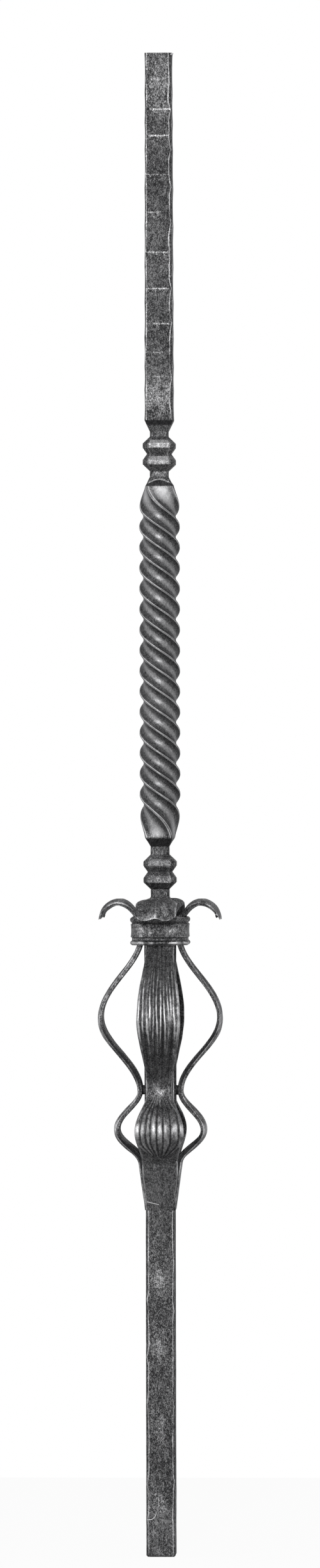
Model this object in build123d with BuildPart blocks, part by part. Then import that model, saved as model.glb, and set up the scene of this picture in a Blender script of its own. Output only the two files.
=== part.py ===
from build123d import *
from collections import namedtuple
from math import cos, radians, sin, sqrt
import os

# Twisted baluster of forged square bar, standing on its lower end.
# Millimetres, +Z up, origin at the middle of the lower end face, front at -Y.

# Bar widths across the flats, and the corner chamfer left by dressing the bar
LOWER_WIDTH = 23.6
CORE_WIDTH = 25.0
UPPER_WIDTH_FOOT = 23.2
UPPER_WIDTH_HEAD = 21.9
BAR_CHAMFER = 1.6
END_CHAMFER = 1.2

# Lengths up the bar, each one standing on the last
LOWER_RUN = 277.0
FOOT_LENGTH = 37.0
KNEE_TO_SMALL_BULGE = 27.0
SMALL_BULGE_TO_WAIST = 31.5
WAIST_TO_BIG_BULGE = 58.5
BIG_BULGE_TO_THROAT = 66.0
THROAT_TO_SHOULDER = 22.0
CORE_SHOULDER = 8.0
CORE_NECK = 6.0
LOWER_TWIST_NECK = 6.4
TWIST_LENGTH = 295.0
UPPER_TWIST_NECK = 4.5
HEAD_NECK = 4.0
HEAD_SHOULDER = 9.0
UPPER_RUN = 292.9

# Knuckle: two faceted beads with a waist between them
NECK_WIDTH = 15.0
NECK_CHAMFER = 2.0
BEAD_WIDTH = 26.2
BEAD_CHAMFER = 4.5
BEAD_LAND = 3.4
BEAD_OUTER_SLOPE = 5.5
BEAD_INNER_SLOPE = 4.9
KNUCKLE_WAIST_WIDTH = 19.4
KNUCKLE_WAIST_CHAMFER = 3.0

# Twisted length: left-handed, so its edges fall to the right on every side
TWIST_CORNER_RADIUS = 16.2
TWIST_FACE_RADIUS = 12.8
TWIST_CORNER_FLAT = 2.0
TWIST_TURNS = 4
TWIST_LOWER_STRAIGHT = 17.5
TWIST_UPPER_STRAIGHT = 14.75
TWIST_RUNOUT = 19.0
TWIST_SHOULDER_HEIGHT = 7.0
TWIST_SHOULDER_WIDTH = 22.2

# Hammer marks of the upper run: shallow hollows between ridges, as distances down from the head.
# The ridges of the two side faces lie a little lower than those of the front and back.
HAMMER_RIDGES = (21.0, 45.0, 66.0, 97.0, 127.0, 159.0, 188.0, 216.0, 239.0, 258.0)
HAMMER_SIDE_DROP = 11.0
HAMMER_DEPTH = 0.55

# Leaf strap: reach of its middle line from the axis at each named place
SMALL_BULGE_REACH = 34.8
WAIST_REACH = 16.0
BIG_BULGE_REACH = 48.0
LIP_REACH = 18.2
CURL_REACH = 33.0
TIP_REACH = 47.2
LIP_RISE = 14.0
CURL_RISE = 12.5
CURL_DROP = 14.0

# Leaf strap: lean of its middle line off the upright where it leaves the collar, in degrees
LIP_LEAN = 27.2

# Leaf strap: how far its foot and knee stand proud of the bar
FOOT_END_PROUD = 0.5
KNEE_PROUD = 4.8

# Leaf strap: half widths, seen face on
FOOT_END_HALF = 11.7
KNEE_HALF = 14.4
SMALL_BULGE_HALF = 19.9
WAIST_HALF = 10.2
BIG_BULGE_HALF = 17.5
THROAT_HALF = 10.2
LIP_HALF = 11.4
CURL_HALF = 17.0
TIP_HALF = 16.6

# Leaf strap: thickness between its lobes, and how far the middle is crowned over its edges
FOOT_THICKNESS = 5.4
STRAP_THICKNESS = 4.0
BULGE_THICKNESS = 3.1
CURL_THICKNESS = 2.8
TIP_THICKNESS = 1.8
BULGE_CROWN = 0.9
CURL_CROWN = 1.5

# Lobes raised along the show face, highest at the bulges, and the two lobes of the curl
LOBES = 6
LOBE_HEIGHT = 1.0
LOBE_HEIGHT_NARROW = 0.3
LOBE_HEIGHT_FAINT = 0.12
CURL_LOBE_HEIGHT = 0.6
TIP_LOBE_DROP = 2.6
TIP_TRIM = 0.3

# Steps from section to section along each leg of the strap
LEG_STEPS = 5

# Weld that bridges strap and bar at the waist
WELD_HEIGHT = 6.6
WELD_WIDTH = 11.0
WELD_CORNER_RADIUS = 2.2

# Collar band, with a rolled rim, a groove and a raised line at each end
COLLAR_HEIGHT = 22.5
COLLAR_HALF = 22.9
COLLAR_CORNER_RADIUS = 9.5
COLLAR_RIM_PROUD = 0.8
COLLAR_TOP_RIM = 4.5
COLLAR_BOTTOM_RIM = 3.8
COLLAR_GROOVE_DEPTH = 0.7
COLLAR_TOP_GROOVE = 0.9
COLLAR_BOTTOM_GROOVE = 2.6
COLLAR_LINE_HEIGHT = 0.8
COLLAR_LINE_PROUD = 0.25

# Play between pieces that bear on one another
SEAT_CLEARANCE = 0.1
COLLAR_CLEARANCE = 0.15

# Heights of the named places
foot_end_z = LOWER_RUN
knee_z = foot_end_z + FOOT_LENGTH
small_bulge_z = knee_z + KNEE_TO_SMALL_BULGE
waist_z = small_bulge_z + SMALL_BULGE_TO_WAIST
big_bulge_z = waist_z + WAIST_TO_BIG_BULGE
throat_z = big_bulge_z + BIG_BULGE_TO_THROAT
lip_z = throat_z + LIP_RISE
curl_z = lip_z + CURL_RISE
tip_z = curl_z - CURL_DROP
core_top_z = throat_z + THROAT_TO_SHOULDER
core_neck_z = core_top_z + CORE_SHOULDER
knuckle_height = 2 * (BEAD_OUTER_SLOPE + BEAD_LAND + BEAD_INNER_SLOPE)
lower_knuckle_z = core_neck_z + CORE_NECK
twist_z = lower_knuckle_z + knuckle_height + LOWER_TWIST_NECK
twist_top_z = twist_z + TWIST_LENGTH
upper_knuckle_z = twist_top_z + UPPER_TWIST_NECK
head_shoulder_z = upper_knuckle_z + knuckle_height + HEAD_NECK
upper_run_z = head_shoulder_z + HEAD_SHOULDER
head_z = upper_run_z + UPPER_RUN


def faceted_bar(levels):
    """Ruled loft through chamfered squares; each level is a height, a width and a corner chamfer."""
    with BuildPart() as bar:
        for height, width, cut in levels:
            with BuildSketch(Plane.XY.offset(height)) as level:
                Rectangle(width, width)
                chamfer(level.vertices(), cut)
        loft(ruled=True)
    return bar.part


def knuckle_levels(start):
    """Levels of one knuckle, from the neck below it to the neck above it."""
    neck = (NECK_WIDTH, NECK_CHAMFER)
    bead = (BEAD_WIDTH, BEAD_CHAMFER)
    waist = (KNUCKLE_WAIST_WIDTH, KNUCKLE_WAIST_CHAMFER)
    half_rises = (BEAD_OUTER_SLOPE, BEAD_LAND, BEAD_INNER_SLOPE)
    rises = (0.0, *half_rises, *reversed(half_rises))
    levels = []
    height = start
    for rise, (width, cut) in zip(rises, (neck, bead, bead, waist, bead, bead, neck)):
        height += rise
        levels.append((height, width, cut))
    return levels


def upper_width(height):
    """Width of the upper run, which is drawn down evenly towards the head."""
    share = (height - upper_run_z) / UPPER_RUN
    return UPPER_WIDTH_FOOT + (UPPER_WIDTH_HEAD - UPPER_WIDTH_FOOT) * share


def hammered_outline(drop):
    """Outline of the upper run, hollowed between ridges that are moved down the bar by drop."""
    ridges = [head_z - distance - drop for distance in HAMMER_RIDGES if distance + drop < UPPER_RUN]
    stops = [head_z, *ridges, upper_run_z]
    with BuildSketch() as outline:
        with BuildLine():
            for side in (1, -1):
                for top, bottom in zip(stops, stops[1:]):
                    middle = (top + bottom) / 2
                    hollow = upper_width(middle) / 2 - HAMMER_DEPTH
                    ThreePointArc(
                        (side * upper_width(top) / 2, top),
                        (side * hollow, middle),
                        (side * upper_width(bottom) / 2, bottom),
                    )
            for level in (head_z, upper_run_z):
                Line((-upper_width(level) / 2, level), (upper_width(level) / 2, level))
        make_face()
    return outline.sketch


def twist_section(height):
    """Square with crowned faces and flattened corners, its faces square to the plain bar's."""
    flat_start = Vector(TWIST_CORNER_RADIUS, -TWIST_CORNER_FLAT / 2)
    flat_end = Vector(TWIST_CORNER_RADIUS, TWIST_CORNER_FLAT / 2)
    face_middle = Vector(TWIST_FACE_RADIUS, 0)
    with BuildSketch(Plane.XY.offset(height)) as section:
        with BuildLine():
            for turn in (45, 135, 225, 315):
                Line(flat_start.rotate(Axis.Z, turn), flat_end.rotate(Axis.Z, turn))
                ThreePointArc(
                    flat_end.rotate(Axis.Z, turn),
                    face_middle.rotate(Axis.Z, turn + 45),
                    flat_start.rotate(Axis.Z, turn + 90),
                )
        make_face()
    return section.sketch


# Twisted length: whole turns between two straight ends, which are dressed down to the necks
turning_z = twist_z + TWIST_LOWER_STRAIGHT
turned_z = twist_top_z - TWIST_UPPER_STRAIGHT
turning_length = turned_z - turning_z
with BuildPart() as twist:
    with BuildLine() as twist_axis:
        Line((0, 0, turning_z), (0, 0, turned_z))
    with BuildLine() as twist_guide:
        pitch = turning_length / TWIST_TURNS
        Helix(pitch, turning_length, TWIST_CORNER_RADIUS, center=(0, 0, turning_z), lefthand=True)
    sweep(twist_section(turning_z), path=twist_axis.wire(), binormal=twist_guide.wire())
    extrude(twist_section(turning_z), amount=-TWIST_LOWER_STRAIGHT)
    extrude(twist_section(turned_z), amount=TWIST_UPPER_STRAIGHT)
    clear_width = 2 * (TWIST_CORNER_RADIUS + TWIST_CORNER_FLAT)
    dressed_ends = faceted_bar(
        [
            (twist_z, NECK_WIDTH, NECK_CHAMFER),
            (twist_z + TWIST_SHOULDER_HEIGHT, TWIST_SHOULDER_WIDTH, TWIST_CORNER_FLAT),
            (twist_z + TWIST_RUNOUT, clear_width, TWIST_CORNER_FLAT),
            (twist_top_z - TWIST_RUNOUT, clear_width, TWIST_CORNER_FLAT),
            (twist_top_z - TWIST_SHOULDER_HEIGHT, TWIST_SHOULDER_WIDTH, TWIST_CORNER_FLAT),
            (twist_top_z, NECK_WIDTH, NECK_CHAMFER),
        ]
    )
    add(dressed_ends, mode=Mode.INTERSECT)

# Upper run: hammered on its four faces, with its corners dressed off
front_outline = hammered_outline(0.0)
side_outline = hammered_outline(HAMMER_SIDE_DROP)
with BuildPart() as corner_planes:
    for level in (upper_run_z, head_z):
        with BuildSketch(Plane.XY.offset(level)):
            across_corners = sqrt(2) * (upper_width(level) - BAR_CHAMFER)
            Rectangle(across_corners, across_corners, rotation=45)
    loft(ruled=True)
with BuildPart() as upper_run:
    with BuildSketch(Plane.XZ):
        add(front_outline)
    extrude(amount=UPPER_WIDTH_FOOT, both=True)
    with BuildSketch(Plane.YZ):
        add(side_outline)
    extrude(amount=UPPER_WIDTH_FOOT, both=True, mode=Mode.INTERSECT)
    add(corner_planes.part, mode=Mode.INTERSECT)

# Stem: one bar from end to end
lower_bar = faceted_bar(
    [
        (0.0, LOWER_WIDTH - 2 * END_CHAMFER, BAR_CHAMFER),
        (END_CHAMFER, LOWER_WIDTH, BAR_CHAMFER),
        (foot_end_z, LOWER_WIDTH, BAR_CHAMFER),
        (knee_z, CORE_WIDTH, BAR_CHAMFER),
        (core_top_z, CORE_WIDTH, BAR_CHAMFER),
        (core_neck_z, NECK_WIDTH, NECK_CHAMFER),
        *knuckle_levels(lower_knuckle_z),
        (twist_z, NECK_WIDTH, NECK_CHAMFER),
    ]
)
head_knuckle = faceted_bar(
    [
        (twist_top_z, NECK_WIDTH, NECK_CHAMFER),
        *knuckle_levels(upper_knuckle_z),
        (head_shoulder_z, NECK_WIDTH, NECK_CHAMFER),
        (upper_run_z, UPPER_WIDTH_FOOT, BAR_CHAMFER),
    ]
)
with BuildPart() as stem:
    add(lower_bar)
    add(twist.part)
    add(head_knuckle)
    add(upper_run.part)
stem.part.label = "stem"

# Section of the strap: its half width, thickness, crown, and the heights of its lobes on each face
Section = namedtuple("Section", "half thickness crown lobe curl_lobe")
faint = LOBE_HEIGHT_FAINT
foot_end_section = Section(FOOT_END_HALF, FOOT_THICKNESS, 0, 0, faint)
knee_section = Section(KNEE_HALF, FOOT_THICKNESS, 0, faint, faint)
small_bulge_section = Section(SMALL_BULGE_HALF, BULGE_THICKNESS, BULGE_CROWN, LOBE_HEIGHT, faint)
waist_section = Section(WAIST_HALF, STRAP_THICKNESS, 0, LOBE_HEIGHT_NARROW, faint)
big_bulge_section = Section(BIG_BULGE_HALF, BULGE_THICKNESS, BULGE_CROWN, LOBE_HEIGHT, faint)
throat_section = Section(THROAT_HALF, STRAP_THICKNESS, 0, LOBE_HEIGHT_NARROW, faint)
lip_section = Section(LIP_HALF, STRAP_THICKNESS, 0, 0, faint)
curl_section = Section(CURL_HALF, CURL_THICKNESS, -CURL_CROWN, 0, CURL_LOBE_HEIGHT)
tip_section = Section(TIP_HALF, TIP_THICKNESS, -CURL_CROWN, 0, CURL_LOBE_HEIGHT)

# Places along the strap: where its middle line is, which way it runs there, and its section
Place = namedtuple("Place", "reach height tangent section")
core_half = CORE_WIDTH / 2
foot_end_reach = LOWER_WIDTH / 2 + FOOT_END_PROUD - FOOT_THICKNESS / 2
knee_reach = core_half + KNEE_PROUD - FOOT_THICKNESS / 2
throat_reach = core_half + SEAT_CLEARANCE + STRAP_THICKNESS / 2
foot_tangent = (knee_reach - foot_end_reach, FOOT_LENGTH)
lip_tangent = (sin(radians(LIP_LEAN)), cos(radians(LIP_LEAN)))
upward = (0, 1)
outward = (1, 0)
downward = (0, -1)
foot_end = Place(foot_end_reach, foot_end_z, foot_tangent, foot_end_section)
knee = Place(knee_reach, knee_z, foot_tangent, knee_section)
small_bulge = Place(SMALL_BULGE_REACH, small_bulge_z, upward, small_bulge_section)
waist = Place(WAIST_REACH, waist_z, upward, waist_section)
big_bulge = Place(BIG_BULGE_REACH, big_bulge_z, upward, big_bulge_section)
throat = Place(throat_reach, throat_z, upward, throat_section)
lip = Place(LIP_REACH, lip_z, lip_tangent, lip_section)
curl = Place(CURL_REACH, curl_z, outward, curl_section)
tip = Place(TIP_REACH, tip_z, downward, tip_section)

# Legs of the strap, from place to place: fluted over the bulges, plain at the foot and the curl
fluted_legs = ((knee, small_bulge), (small_bulge, waist), (waist, big_bulge), (big_bulge, throat))
plain_legs = ((foot_end, knee), (throat, lip), (lip, curl), (curl, tip))


def blend(start, end, share):
    """Value between two places, easing out of the one and into the other."""
    return start + (end - start) * share * share * (3 - 2 * share)


def strap_outline(section, fluted):
    """Closed outline of the strap: show face, square edges, and a back with two soft lobes."""
    half = section.half
    show_edge = section.crown - section.thickness / 2
    back_edge = section.crown + section.thickness / 2
    back_middle = section.thickness / 2
    if fluted:
        crests = []
        for step in range(2 * LOBES + 1):
            across = step / LOBES - 1
            ridge = section.lobe if step % 2 else 0.0
            crests.append((across * half, section.crown * across * across - back_middle - ridge))
        Polyline(*crests)
    else:
        Bezier((-half, show_edge), (0, -section.crown - back_middle), (half, show_edge))
    Line((half, show_edge), (half, back_edge))
    for side in (1, -1):
        bend = back_middle + 2 * section.curl_lobe
        Bezier((side * half, back_edge), (side * half / 2, bend), (0, back_middle))
    Line((-half, back_edge), (-half, show_edge))


def strap_leg(start, end, fluted):
    """Length of strap between two places, lofted through sections square to its middle line."""
    with BuildPart() as leg:
        with BuildLine(Plane.XZ) as middle_line:
            ends = ((start.reach, start.height), (end.reach, end.height))
            Spline(*ends, tangents=(start.tangent, end.tangent))
        for step in range(LEG_STEPS + 1):
            share = step / LEG_STEPS
            middle = middle_line.edge() @ share
            along = middle_line.edge() % share
            values = [blend(a, b, share) for a, b in zip(start.section, end.section)]
            with BuildSketch(Plane(origin=middle, x_dir=(0, 1, 0), z_dir=along)):
                with BuildLine():
                    strap_outline(Section(*values), fluted)
                make_face()
        loft()
    return leg.part


# Room that the straps leave for the bar
with BuildPart() as bar_room:
    room_levels = (
        (foot_end_z - FOOT_THICKNESS, LOWER_WIDTH),
        (foot_end_z, LOWER_WIDTH),
        (knee_z, CORE_WIDTH),
        (core_top_z, CORE_WIDTH),
    )
    for level, width in room_levels:
        with BuildSketch(Plane.XY.offset(level)):
            Rectangle(width + 2 * SEAT_CLEARANCE, width + 2 * SEAT_CLEARANCE)
    loft(ruled=True)

# Leaf strap on the right-hand face of the bar
with BuildPart() as strap:
    for start, end in fluted_legs:
        add(strap_leg(start, end, fluted=True))
    for start, end in plain_legs:
        add(strap_leg(start, end, fluted=False))

    # Weld at the waist
    with BuildSketch(Plane.YZ.offset(core_half + SEAT_CLEARANCE)):
        with Locations((0, waist_z)):
            RectangleRounded(WELD_WIDTH, WELD_HEIGHT, WELD_CORNER_RADIUS)
    extrude(amount=WAIST_REACH - core_half - SEAT_CLEARANCE)

    # Tip trimmed to two rounded lobes
    with BuildSketch(Plane.YZ.offset((CURL_REACH + TIP_REACH) / 2)):
        with BuildLine():
            corner_z = tip_z + TIP_LOBE_DROP
            below_z = tip_z - TIP_LOBE_DROP
            for side in (1, -1):
                edge = side * TIP_HALF
                beyond = side * (CURL_HALF + TIP_LOBE_DROP)
                ThreePointArc((0, corner_z), (edge / 2, tip_z + TIP_TRIM), (edge, corner_z))
                Polyline((edge, corner_z), (beyond, corner_z), (beyond, below_z), (0, below_z))
        make_face()
    extrude(amount=TIP_REACH, mode=Mode.SUBTRACT)

    # Seat on the bar, and mitres against the straps on the faces to either side
    add(bar_room.part, mode=Mode.SUBTRACT)
    with BuildSketch(Plane.XY):
        mitre_reach = BIG_BULGE_REACH + TIP_REACH
        Polygon((SEAT_CLEARANCE, 0), (mitre_reach, -mitre_reach), (mitre_reach, mitre_reach), align=None)
    extrude(amount=head_z, mode=Mode.INTERSECT)

leaves = []
for name, turn in (("leaf_right", 0), ("leaf_back", 90), ("leaf_left", 180), ("leaf_front", 270)):
    with BuildPart() as leaf:
        add(strap.part, rotation=(0, 0, turn))
    leaf.part.label = name
    leaves.append(leaf)

# Collar: a band whose section is carried round a rounded square, bearing on the straps at its lip
lip_face_reach = LIP_REACH + STRAP_THICKNESS / 2 / cos(radians(LIP_LEAN))
bore_half = lip_face_reach + COLLAR_CLEARANCE
collar_z = lip_z - COLLAR_HEIGHT
with BuildPart() as collar:
    with BuildLine(Plane.XY.offset(collar_z)) as band_path:
        FilletPolyline(
            (COLLAR_HALF, -COLLAR_HALF),
            (COLLAR_HALF, COLLAR_HALF),
            (-COLLAR_HALF, COLLAR_HALF),
            (-COLLAR_HALF, -COLLAR_HALF),
            radius=COLLAR_CORNER_RADIUS,
            close=True,
        )
    with BuildSketch(Plane.XZ):
        groove = COLLAR_HALF - COLLAR_GROOVE_DEPTH
        rim = COLLAR_HALF + COLLAR_RIM_PROUD
        line = COLLAR_HALF + COLLAR_LINE_PROUD
        bottom_rim_z = collar_z + COLLAR_BOTTOM_RIM
        bottom_line_z = bottom_rim_z + COLLAR_BOTTOM_GROOVE
        top_rim_z = lip_z - COLLAR_TOP_RIM
        top_line_z = top_rim_z - COLLAR_TOP_GROOVE
        band_bottom = bottom_line_z + COLLAR_LINE_HEIGHT
        band_top = top_line_z - COLLAR_LINE_HEIGHT
        with BuildLine():
            bottom_roll = (rim, (collar_z + bottom_rim_z) / 2)
            top_roll = (rim, (top_rim_z + lip_z) / 2)
            ThreePointArc((groove, collar_z), bottom_roll, (groove, bottom_rim_z))
            Line((groove, bottom_rim_z), (groove, bottom_line_z))
            Polyline((groove, bottom_line_z), (line, bottom_line_z), (line, band_bottom))
            Polyline((line, band_bottom), (COLLAR_HALF, band_bottom), (COLLAR_HALF, band_top))
            Polyline((COLLAR_HALF, band_top), (line, band_top), (line, top_line_z))
            Polyline((line, top_line_z), (groove, top_line_z), (groove, top_rim_z))
            ThreePointArc((groove, top_rim_z), top_roll, (groove, lip_z))
            Polyline((groove, lip_z), (bore_half, lip_z), (bore_half, collar_z), (groove, collar_z))
        make_face()
    sweep(path=band_path.wire())
collar.part.label = "collar"

os.makedirs("parts", exist_ok=True)
for piece in (stem, *leaves, collar):
    export_step(piece.part, f"parts/{piece.part.label}.step")
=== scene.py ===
import math

import bpy
import numpy as np
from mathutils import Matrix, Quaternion, Vector, noise


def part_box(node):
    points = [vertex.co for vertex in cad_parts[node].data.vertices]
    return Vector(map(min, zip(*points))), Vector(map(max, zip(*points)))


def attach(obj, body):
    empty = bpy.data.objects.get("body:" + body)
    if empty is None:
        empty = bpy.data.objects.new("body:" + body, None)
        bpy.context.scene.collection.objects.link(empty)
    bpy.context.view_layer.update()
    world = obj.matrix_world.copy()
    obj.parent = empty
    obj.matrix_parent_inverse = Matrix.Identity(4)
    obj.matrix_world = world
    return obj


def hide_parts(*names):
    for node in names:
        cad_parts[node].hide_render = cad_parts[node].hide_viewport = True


# Looks of a forged twisted baluster. Shapes are worked out in millimetres, with the front at -Y and
# the lower end at height 0. Each point carries wear and painted highlight, soot and painted shade,
# and polish, which the material reads.
MM = 0.001

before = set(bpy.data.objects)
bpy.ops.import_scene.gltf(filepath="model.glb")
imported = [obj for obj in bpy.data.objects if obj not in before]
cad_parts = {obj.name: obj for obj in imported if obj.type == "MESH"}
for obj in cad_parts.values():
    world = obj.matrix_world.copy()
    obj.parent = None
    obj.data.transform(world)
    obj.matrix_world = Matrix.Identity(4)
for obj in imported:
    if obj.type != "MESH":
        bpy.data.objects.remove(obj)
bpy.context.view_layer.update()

# Heights of the named places on the bar
FOOT_END_Z = 277.0
KNEE_Z = 314.0
SMALL_BULGE_Z = 341.0
WAIST_Z = 372.5
BIG_BULGE_Z = 431.0
THROAT_Z = 497.0
LIP_Z = 511.0
CURL_Z = 522.7
TIP_Z = 510.6
CORE_TOP_Z = 519.0
CORE_NECK_Z = 527.0
LOWER_KNUCKLE_Z = 533.0
TWIST_Z = 567.0
TWIST_TOP_Z = 862.0
UPPER_KNUCKLE_Z = 866.5
HEAD_SHOULDER_Z = 898.1
UPPER_RUN_Z = 907.1
HEAD_Z = 1200.0

# Half widths of the bar across its flats, and how much of each corner is cut away
LOWER_HALF = 11.8
CORE_HALF = 12.5
UPPER_FOOT_HALF = 11.6
UPPER_HEAD_HALF = 10.95
BAR_CUT = 1.6
END_BEVEL = 1.2
NECK_HALF = 7.5
NECK_CUT = 2.0
BEAD_HALF = 13.1
BEAD_CUT = 4.5
KNUCKLE_WAIST_HALF = 9.7
KNUCKLE_WAIST_CUT = 3.0
BEAD_OUTER_SLOPE = 5.5
BEAD_LAND = 3.4
BEAD_INNER_SLOPE = 4.9

# Twisted length: its crown and its finish start inside its ends
TWIST_HALF = 12.16
TWIST_CUT = 1.42
TWIST_CROWN = 0.95
CROWN_START = 3.0
TWIST_VALLEY = 0.3
TWIST_TURNS = 4.0
LOWER_EASE = 35.0
UPPER_EASE = 29.5
SHOULDER = 6.8
SHOULDER_HALF = 11.1
FINISH_START = 12.0
FINISH_FADE = 8.0
TWIST_CALM = 0.5

# Sides of the bar, in order round it
SIDES = 4
FRONT_SIDE = 3
SIDE_FACES = (0, 2)

# Hammer ridges of the upper run: distance down from the head, brightness, and the stretch of the
# front face that is rubbed bright, as shares of its half width
HAMMER_RIDGES = (
    (21.0, 0.30, -0.6, 0.7),
    (45.0, 1.00, -0.6, 1.0),
    (66.0, 0.85, -0.8, 0.9),
    (97.0, 0.55, -0.9, 0.8),
    (127.0, 0.80, -0.9, 0.2),
    (159.0, 1.00, -0.8, 0.9),
    (188.0, 0.70, -0.9, 0.8),
    (216.0, 0.60, -0.7, 0.9),
    (239.0, 0.45, -0.9, 0.5),
    (258.0, 0.35, -0.5, 0.9),
)
HAMMER_SIDE_DROP = 11.0
HAMMER_DEPTH = 0.36
RIDGE_CLEARANCE = 4.0
RIDGE_SEED = 70

# Crest of a ridge and the glow under it, as strength, height over the ridge and width, how its ends
# fade, and on the other faces the ranges of its random brightness and its reach left and right
CREST = ((1.0, 0.0, 0.6), (0.22, -2.5, 3.0))
CREST_TRIM = 0.05
CREST_FADE = 0.2
OTHER_RIDGES = ((0.3, 1.0), (0.5, 1.0), (0.3, 1.0))

# Corner cuts: their usual size between blows, and the heights where a blow has pinched them
RIGHT_PINCHES = (
    1154.0, 1122.9, 1092.8, 1064.1, 1012.0, 984.4, 940.4, 235.0, 196.0, 120.0, 60.0
)
LEFT_PINCHES = (1178.0, 1103.0, 1040.0, 960.0, 205.5, 160.0, 122.7, 57.8, 30.2)
UPPER_RIGHT_CUT = 2.7
UPPER_LEFT_CUT = 1.4
LOWER_RIGHT_CUT = 1.9
LOWER_LEFT_CUT = 2.3
PINCHED_CUT = 0.7
PINCH_REACH = 9.0
PINCH_POWER = 0.6
CUT_BLEND = 14.0

# Waves of the cuts, and how far apart the corners lie in the noise
CUT_WAVES = ((0.25, 20.0, 10), (0.12, 6.0, 20))
CORNER_SPACING = 40.0

# Rounds of smoothing that fine relief is measured from
SMOOTHING = 3
STEM_SMOOTHING = 4

# Wear, soot and polish in the middle of an end cap
CAP_PAINT = 0.1


def rng(seed):
    """Seeded source of random numbers, so that each run is the same."""
    return np.random.default_rng(seed)


def smoothstep(low, high, value):
    """Soft step from 0 below low to 1 above high."""
    share = np.clip((np.asarray(value, float) - low) / (high - low), 0, 1)
    return share * share * (3 - 2 * share)


def stepped(step, value):
    """Soft step, given as its height, start and end."""
    height, low, high = step
    return height * smoothstep(low, high, value)


def bell(centre, width, value):
    """Bell of height 1 at centre."""
    return np.exp(-(((np.asarray(value, float) - centre) / width) ** 2))


def bells(humps, value):
    """Sum of bells, each given as strength, centre and width."""
    return sum(strength * bell(centre, width, value) for strength, centre, width in humps)


def window(low, high, soft, value):
    """1 between low and high, fading to 0 over a soft distance outside them."""
    return smoothstep(low - soft, low, value) * smoothstep(high + soft, high, value)


def mixed(pair, share):
    """First number of the pair, and the second in proportion to share."""
    return pair[0] + pair[1] * share


def arch(share):
    """Arch from 0 at a share of 0 to 1 halfway and back to 0 at 1."""
    return 4 * share * (1 - share)


def field(points, size, seed):
    """Smooth noise from about -1 to 1, with features of the given size."""
    shift = Vector(rng(seed).uniform(-50, 50, 3))
    points = np.asarray(points, float)
    values = [noise.noise(Vector(p) + shift) for p in (points / size).reshape(-1, 3)]
    return np.array(values).reshape(points.shape[:-1])


def uneven(points, waves, seed=0):
    """Sum of noises, each given as strength, size and what is added to the seed."""
    return sum(strength * field(points, size, seed + step) for strength, size, step in waves)


def patchy(points, patches, seed=0):
    """Patches of noise: the range that counts, size, what is added to the seed, share of height."""
    low, high, size, step, upright = patches
    return smoothstep(low, high, field(points * (1, 1, upright), size, seed + step))


def faced(out, across, height, angle):
    """Points at distances out from the axis and across, on the side that looks towards the angle."""
    x = out * np.cos(angle) - across * np.sin(angle)
    y = out * np.sin(angle) + across * np.cos(angle)
    return np.stack(np.broadcast_arrays(x, y, height), -1)


def turned(points, angle):
    """Points turned about the upright axis, by one angle or by one for each ring."""
    return faced(*np.moveaxis(points, -1, 0), np.reshape(angle, (-1, 1)))


def ring_normals(points, closed=False):
    """Outward normals of a tube, given as rings by points by 3."""
    around = np.roll(points, -1, 1) - np.roll(points, 1, 1)
    if closed:
        along = np.roll(points, -1, 0) - np.roll(points, 1, 0)
    else:
        along = np.gradient(points, axis=0)
    normals = np.cross(around, along)
    return normals / np.maximum(np.linalg.norm(normals, axis=2, keepdims=True), 1e-9)


def standing_out(points, closed=False, rounds=SMOOTHING):
    """How far each point of a tube stands out of its smoothed surface."""
    soft = points.copy()
    for _ in range(rounds):
        across = np.roll(soft, 1, 1) + np.roll(soft, -1, 1)
        if closed:
            along = np.roll(soft, 1, 0) + np.roll(soft, -1, 0)
        else:
            along = np.vstack([soft[:1], soft[:-1]]) + np.vstack([soft[1:], soft[-1:]])
        soft = (across + along) / 4
    return np.sum((points - soft) * ring_normals(points, closed), axis=2)


class Shape:
    """Tubes of one piece, with the wear and painted highlight, soot and painted shade, and polish of each
    point.
    """

    def __init__(self):
        self.points = []
        self.faces = []
        self.layers = {"wear_and_highlight": [], "soot_and_shade": [], "polish": []}

    def add(self, points, wear_and_highlight, soot_and_shade, polish, closed=False):
        """Adds a tube, which closes on itself or is capped at both ends."""
        start = sum(len(group) for group in self.points)
        rings, count = points.shape[:2]
        here = np.arange(rings * count).reshape(rings, count) + start
        beside = np.roll(here, -1, 1)
        if closed:
            quads = (here, beside, np.roll(beside, -1, 0), np.roll(here, -1, 0))
        else:
            quads = (here[:-1], beside[:-1], beside[1:], here[1:])
        self.faces += np.stack(quads, -1).reshape(-1, 4).tolist()
        self.points.append(points.reshape(-1, 3))
        for layer, values in zip(self.layers.values(), (wear_and_highlight, soot_and_shade, polish)):
            layer.append(np.broadcast_to(values, points.shape[:2]).reshape(-1))
        if closed:
            return
        self.points.append(np.array([points[0].mean(0), points[-1].mean(0)]))
        for layer in self.layers.values():
            layer.append(np.full(2, CAP_PAINT))
        bottom = start + rings * count
        self.faces += [(high, low, bottom) for low, high in zip(here[0], beside[0])]
        self.faces += [(low, high, bottom + 1) for low, high in zip(here[-1], beside[-1])]

    def piece(self, name, node, sharp_angle):
        """Object with this shape, kept within the box of its solid."""
        low, high = (np.array(corner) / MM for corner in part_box(node))
        points = np.clip(np.concatenate(self.points), low, high)
        mesh = bpy.data.meshes.new(name)
        mesh.from_pydata((points * MM).tolist(), [], [tuple(map(int, face)) for face in self.faces])
        for layer, values in self.layers.items():
            attribute = mesh.attributes.new(layer, "FLOAT", "POINT")
            values = np.clip(np.concatenate(values), 0, 1).astype(np.float32)
            attribute.data.foreach_set("value", values)
        mesh.shade_smooth()
        mesh.set_sharp_from_angle(angle=math.radians(sharp_angle))
        made = bpy.data.objects.new(name, mesh)
        bpy.context.scene.collection.objects.link(made)
        return made


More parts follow.
